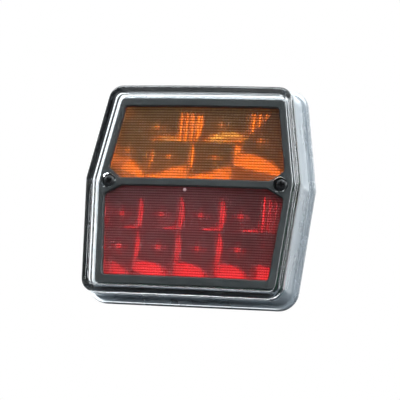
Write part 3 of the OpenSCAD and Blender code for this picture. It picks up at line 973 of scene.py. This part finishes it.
# ------------------------------------------------------------------ fasteners
def threaded(b, x, z, y0, y1, major, pitch, depth, count, per_turn):
    """A screw thread as one helical skin from y0 to y1, run out at both ends.
    Returns its first and last outlines."""
    steps = int((y1 - y0) / pitch * per_turn)
    run_out = 0.9 * pitch
    rings = []
    for i in range(steps + 1):
        y = y0 + (y1 - y0) * i / steps
        fade = max(0.0, min(1.0, (y - y0) / run_out, (y1 - y) / run_out))
        loop = []
        for j in range(count):
            a = 2 * math.pi * j / count
            t = ((y - y0) / pitch - j / count) % 1.0
            triangle = 1 - abs(2 * t - 1)
            height = max(0.0, min(1.0, (triangle - 0.1) / 0.75))
            r = major - depth + depth * height * fade
            loop.append(Vector((x + r * math.cos(a), z + r * math.sin(a))))
        rings.append((loop, y))
    b.sweep(rings)
    return rings[0][0], rings[-1][0]


def make_stud(side):
    b = Build()
    x = SIDES[side] * STUD_X
    thread_y0, thread_y1 = 6.9, STUD_LEN - 0.55
    # hexagonal head
    b.cap(circle(x, 0, 4.3, 6), -3.28)
    b.turned(x, 0, [(4.3, -3.28), (4.58, -3.1), (4.58, -1.18)], 6)
    b.cap(circle(x, 0, 4.58, 6), -1.18, [circle(x, 0, 3.38, 28)], front=False)
    # shank down to the thread
    b.turned(x, 0, [(3.38, -1.18), (3.38, -0.25), (3.2, -0.02), (2.75, 0.0), (2.5, 0.25),
                    (2.5, 5.75), (2.4, 6.0), (1.9, 6.1), (1.9, 6.75)], 28)
    first, last = threaded(b, x, 0, thread_y0, thread_y1, major=2.47, pitch=0.8, depth=0.42,
                           count=28, per_turn=5)
    tip = circle(x, 0, 1.4, 28)
    b.sweep([(circle(x, 0, 1.9, 28), 6.75), (first, thread_y0)])
    b.sweep([(last, thread_y1), (circle(x, 0, 1.65, 28), STUD_LEN - 0.06), (tip, STUD_LEN)])
    b.cap(tip, STUD_LEN, front=False)
    b.done("threaded_stud_" + side, ["zinc"], "root", "stud_" + side, "zinc", sharp=28)


def make_nut(side):
    b = Build()
    x = SIDES[side] * STUD_X
    y0, y1 = 8.95, 13.0
    count = 48

    def hexagon(y):
        """A hexagon cut by the chamfer cone: each point is the nearer of the flat and the cone."""
        loop = []
        for j in range(count):
            a = 2 * math.pi * j / count
            flat_r = 4.0 / math.cos((a + math.pi / 6) % (math.pi / 3) - math.pi / 6)
            cone_r = 4.15 + 1.75 * min(y - y0, y1 - y)
            r = min(flat_r, cone_r, 4.6)
            loop.append(Vector((x + r * math.cos(a), r * math.sin(a))))
        return loop

    insets = (0, 0.1, 0.2, 0.3, 0.45)
    levels = [y0 + d for d in insets] + [(y0 + y1) / 2] + [y1 - d for d in reversed(insets)]
    b.sweep([(hexagon(y), y) for y in levels])
    b.cap(hexagon(y0), y0, [circle(x, 0, 3.98, count)])
    b.turned(x, 0, [(3.98, y0), (3.9, y0 - 0.04), (2.95, y0 - 0.04), (2.52, y0 + 0.38),
                    (2.52, y1 - 0.4), (2.95, y1)], count)
    b.cap(hexagon(y1), y1, [circle(x, 0, 2.95, count)], front=False)
    nut = "nut_" + side
    b.done("hex_" + nut, ["zinc"], nut, nut, "zinc", sharp=26)


def make_washers(side):
    x = SIDES[side] * STUD_X
    body = "washers_" + side
    b = Build()
    b.turned(x, 0, [(2.72, 6.66), (2.8, 6.62), (4.86, 6.62), (5.0, 6.74), (5.0, 7.48),
                    (4.88, 7.59), (2.8, 7.59), (2.72, 7.54), (2.72, 6.66)], 48)
    b.done("plain_washer_" + side, ["zinc"], body, "flat_washer_" + side, "zinc", sharp=40)

    # one turn of square wire, its two ends lifted apart at the split
    b = Build()
    steps, half_gap, start_y = 60, math.radians(9), 7.72
    # (radius, height) round the wire
    section = [(2.66, 0.08), (2.74, 0.0), (4.3, 0.0), (4.4, 0.1),
               (4.4, 1.0), (4.3, 1.1), (2.74, 1.1), (2.66, 1.02)]
    rows = []
    for i in range(steps + 1):
        t = i / steps
        a = math.radians(70) + half_gap + (2 * math.pi - 2 * half_gap) * t
        lift = 0.12 * (t - 0.5)
        rows.append([b.bm.verts.new(((x + r * math.cos(a)) * MM, (start_y + h + lift) * MM,
                                     r * math.sin(a) * MM)) for r, h in section])
    for row, after in zip(rows, rows[1:]):
        for j in range(len(section)):
            k = (j + 1) % len(section)
            b.face((row[j], row[k], after[k], after[j]))
    b.face(rows[0][::-1])
    b.face(rows[-1])
    b.done("split_washer_" + side, ["zinc"], body, "spring_washer_" + side, "zinc", sharp=35)


def cross(x, z, arm, half, turn):
    """A plus-shaped outline, its arms `arm` long and twice `half` wide."""
    points = [(arm, -half), (arm, half), (half, half), (half, arm), (-half, arm), (-half, half),
              (-arm, half), (-arm, -half), (-half, -half), (-half, -arm), (half, -arm),
              (half, -half)]
    c, s = math.cos(turn), math.sin(turn)
    return [Vector((x + p * c - q * s, z + p * s + q * c)) for p, q in points]


def make_screw(side, turn):
    b = Build()
    x, z = SIDES[side] * SCREW_X, SCREW_Z
    under, top, recess = -13.42, -15.2, 1.25
    b.cap(circle(x, z, 2.72, 36), under, [circle(x, z, 1.45, 24)], front=False)
    b.turned(x, z, [(2.72, under), (2.75, -13.6), (2.75, -14.2), (2.68, -14.55), (2.5, -14.85),
                    (2.2, -15.05), (1.85, -15.17), (1.7, top)], 36)
    mouth, foot = cross(x, z, 1.42, 0.36, turn), cross(x, z, 0.72, 0.22, turn)
    b.cap(circle(x, z, 1.7, 36), top, [mouth])
    b.sweep([(mouth, top), (foot, top + recess)])
    b.cap(foot, top + recess)
    thread_y0, thread_y1 = -12.9, -3.2
    first, last = threaded(b, x, z, thread_y0, thread_y1, major=1.44, pitch=0.75, depth=0.28,
                           count=24, per_turn=4)
    neck = circle(x, z, 1.2, 24)
    b.sweep([(circle(x, z, 1.45, 24), under), (neck, -13.2), (neck, -13.0), (first, thread_y0)])
    b.cap(last, thread_y1, front=False)
    screw = "cover_screw_" + side
    b.done("cross_recess_screw_" + side, ["dark_steel"], screw, screw, "black_screw", sharp=28)


# ------------------------------------------------------------------ lights on the board
def make_leds(colour, cells):
    """A small block with a clear dome in each lit cell."""
    b = Build()
    top, dome_r, dome_h = BOARD_Y - 1.1, 1.15, 0.55
    for cx, cz, steepness, *_ in cells:
        if not steepness:
            continue
        block = rectangle(cx - 1.75, cx + 1.75, cz - 1.4, cz + 1.4)
        profile = [(-0.12, BOARD_Y - 0.01), (0, BOARD_Y - 0.12), (-0.03, BOARD_Y - 0.98),
                   (-0.14, top)]
        rings = [(rounded(grown(block, by), [0.3] * 4, [3] * 4, [2] * 4), y) for by, y in profile]
        b.cap(*rings[0], front=False)
        b.sweep(rings)
        b.cap(*rings[-1], [circle(cx, cz, dome_r, 32)])
        dome = [(dome_r, top)]
        for k in range(1, 6):
            t = k / 6 * math.pi / 2
            dome.append((dome_r * math.cos(t), top - dome_h * math.sin(t)))
        b.turned(cx, cz, dome, 32, slot=1)
        b.cap(circle(cx, cz, dome[-1][0], 32), dome[-1][1], slot=1)
    b.done(colour + "_light_chips", ["led_body", "led_" + colour], "root", colour + "_leds",
           "led_" + colour, sharp=35)


def make_gate_mark():
    """The small disc left by the moulding gate at the top of the red lens."""
    b = Build()
    lens = crown(LENS_FRONT)

    def raised(height):
        return lambda x, z: lens(x, z) - height

    # (radius, height above the lens)
    profile = [(0.78, 0.0), (0.78, 0.12), (0.7, 0.24), (0.5, 0.33), (0.25, 0.37)]
    rings = [(circle(-3.9, 0.9, r, 24), raised(height)) for r, height in profile]
    b.sweep(rings)
    b.cap(*rings[0], front=False)
    b.cap(*rings[-1])
    b.done("gate_mark", ["gate"], "cover", None, "clear_cover", weighted=False)


make_cover()
make_mask()
make_lens("amber", AMBER_WINDOW, pitch_x=1.33, pitch_z=1.19, depth=0.16, groove=0.24)
make_lens("red", RED_WINDOW, pitch_x=1.12, pitch_z=1.14, depth=0.14, groove=0.21)
make_reflector("amber", AMBER_CELLS, reflector_area(4.3, FAR))
make_reflector("red", RED_CELLS, reflector_area(-FAR, 3.5))
make_gate_mark()
make_base()
for side, screw_turn in (("left", 38), ("right", 12)):
    make_stud(side)
    make_nut(side)
    make_washers(side)
    make_screw(side, math.radians(screw_turn))
make_leds("red", RED_CELLS)
make_leds("amber", AMBER_CELLS)

# ------------------------------------------------------------------ CAD pieces that stay
# node: (material, bevel width in mm)
KEPT = {
    "cover_seal": ("rubber", 0.1), "circuit_board": ("pcb", 0.08), "resistors": ("chip", 0.06),
    "diodes": ("chip", 0.1), "capacitors": ("ceramic", 0.1), "regulator": ("chip", 0.12),
    "plate_light_board": ("pcb_white", 0.05), "plate_light_leds": ("led_white", 0.1),
    "board_screws": ("zinc", 0.12), "screw_seals": ("rubber", 0.15),
    "cable_grommet": ("rubber", 0.25), "cable_sheath": ("pvc_black", 0.2),
    "core_white": ("pvc_white", 0.08), "core_yellow": ("pvc_yellow", 0.08),
    "core_brown": ("pvc_brown", 0.08), "core_red": ("pvc_red", 0.08),
    "copper_conductors": ("copper", 0.04), "solder_joints": ("solder", 0.06),
}


def soften(ob, material, width):
    """Gives a CAD piece its material, welds it and softens its edges."""
    ob.data.materials.clear()
    ob.data.materials.append(material)
    weld = ob.modifiers.new("weld", "WELD")
    weld.merge_threshold = 0.000002
    bevel = ob.modifiers.new("bevel", "BEVEL")
    bevel.width = width * MM
    bevel.segments = 2
    bevel.limit_method = "ANGLE"
    bevel.angle_limit = math.radians(35)
    bevel.harden_normals = False
    for p in ob.data.polygons:
        p.use_smooth = True
    normals = ob.modifiers.new("wn", "WEIGHTED_NORMAL")
    normals.weight = 80


for name, (key, width) in KEPT.items():
    if not frame["nodes"][name].hide_render:
        soften(frame["nodes"][name], MAT[key], width)


# ------------------------------------------------------------------ floor
def floor_material():
    """Pale to the camera, dark to all other rays, and clear from below."""
    m, tree, pale, out = new_material("floor_pale")
    blotches = noise(tree, object_coords(tree), scale=3.0, detail=2, rough=0.5)
    tones = mottle(tree, blotches, dark=(0.80, 0.80, 0.80), light=(0.84, 0.84, 0.84))
    fill(pale, {"Base Color": tones, "Roughness": 0.7})
    below = node(tree, "NewGeometry").outputs["Backfacing"]
    clear = node(tree, "BsdfTransparent").outputs["BSDF"]
    final = node(tree, "MixShader", {"Fac": below, 2: clear})
    is_camera = node(tree, "LightPath").outputs["Is Camera Ray"]
    dark = node(tree, "BsdfDiffuse", {"Color": (0.07, 0.08, 0.09, 1)}).outputs["BSDF"]
    top = node(tree, "MixShader", {"Fac": is_camera, 1: dark, 2: pale.outputs["BSDF"]})
    fill(final, {1: top.outputs["Shader"]})
    fill(out, {"Surface": final.outputs["Shader"]})
    return m


def make_floor(half=1.2):
    z = CAD_BOX[0].z
    mesh = bpy.data.meshes.new("floor")
    corners = [(-half, -half, z), (half, -half, z), (half, half, z), (-half, half, z)]
    mesh.from_pydata(corners, [], [(0, 1, 2, 3)])
    floor = bpy.data.objects.new("floor", mesh)
    bpy.context.scene.collection.objects.link(floor)
    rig.stage(floor)
    mesh.materials.append(floor_material())


# ------------------------------------------------------------------ world
def make_world():
    """A lit backdrop behind the lamp, a pale ceiling and four round softboxes in a dark room.
    The camera itself sees plain white."""
    world = bpy.data.worlds.new("studio")
    bpy.context.scene.world = world
    world.use_nodes = True
    tree = world.node_tree
    tree.nodes.clear()
    direction = node(tree, "TexCoord").outputs["Generated"]
    axes = node(tree, "SeparateXYZ", {"Vector": direction}).outputs

    def ease(source, start, end, top):
        """Rises smoothly from 0 to top as the source goes from start to end."""
        return map_range(tree, source, start, end, 0.0, top, interpolation_type="SMOOTHSTEP")

    def softbox(azimuth, elevation, half, soft, strength):
        """A round light; angles in degrees, azimuth from -Y towards +X."""
        az, el = math.radians(azimuth), math.radians(elevation)
        aim = (math.sin(az) * math.cos(el), -math.cos(az) * math.cos(el), math.sin(el))
        dot = node(tree, "VectorMath", {0: direction, 1: aim}, operation="DOT_PRODUCT")
        return ease(dot.outputs["Value"], start=math.cos(math.radians(half + soft)),
                    end=math.cos(math.radians(half)), top=strength)

    behind = ease(axes["Y"], start=0.70, end=0.86, top=1.75)
    above_floor = ease(axes["Z"], start=-0.12, end=0.04, top=1.0)
    backdrop = math_node(tree, "MULTIPLY", behind, above_floor)
    ceiling = ease(axes["Z"], start=0.45, end=0.75, top=1.3)
    on_right = math_node(
        tree, "MAXIMUM",
        softbox(azimuth=40, elevation=15, half=7, soft=5, strength=11.5),
        softbox(azimuth=68, elevation=26, half=12, soft=9, strength=5.0))
    overhead = math_node(
        tree, "MAXIMUM",
        softbox(azimuth=-57, elevation=51, half=15, soft=8, strength=7.0),
        softbox(azimuth=-17, elevation=57, half=15, soft=8, strength=7.0))
    boxes = math_node(tree, "ADD", on_right, overhead)
    room = math_node(tree, "MAXIMUM", backdrop, ceiling)
    total = math_node(tree, "ADD", room, boxes)
    ambient = 0.03
    strength = math_node(tree, "ADD", total, ambient)
    lit = node(tree, "Background", {"Strength": strength, "Color": (0.93, 0.97, 1.0, 1)})
    white = node(tree, "Background", {"Color": (1, 1, 1, 1), "Strength": 1.0})
    mix = node(tree, "MixShader", {"Fac": node(tree, "LightPath").outputs["Is Camera Ray"],
                                   1: lit.outputs["Background"], 2: white.outputs["Background"]})
    node(tree, "OutputWorld", {"Surface": mix.outputs["Shader"]})


# ------------------------------------------------------------------ camera
def make_camera():
    yaw, pitch, roll = math.radians(20.5), math.radians(-11.6), math.radians(5.94)
    distance = 1.016
    target = Vector((-1.9 * MM, 0, -0.3 * MM))
    back = Vector((math.sin(yaw) * math.cos(pitch), -math.cos(yaw) * math.cos(pitch),
                   math.sin(pitch)))
    level = (-back).cross(Vector((0, 0, 1))).normalized()
    upright = level.cross(-back)
    right = math.cos(roll) * level + math.sin(roll) * upright
    up = -math.sin(roll) * level + math.cos(roll) * upright
    place = target + back * distance
    data = bpy.data.cameras.new("camera")
    data.sensor_width = 36.0
    data.lens = 206.37
    data.clip_start, data.clip_end = 0.01, 20.0
    camera = bpy.data.objects.new("camera", data)
    bpy.context.scene.collection.objects.link(camera)
    rows = [(right[i], up[i], back[i], place[i]) for i in range(3)]
    camera.matrix_world = Matrix((*rows, (0, 0, 0, 1)))
    bpy.context.scene.camera = camera


make_floor()
make_world()
bpy.context.scene.view_settings.view_transform = "Standard"
bpy.context.scene.view_settings.look = "None"
make_camera()

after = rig.bounds()
with open("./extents.json", "w") as f:
    json.dump({"cad": [list(CAD_BOX[0]), list(CAD_BOX[1])],
               "visual": [list(after[0]), list(after[1])]}, f)
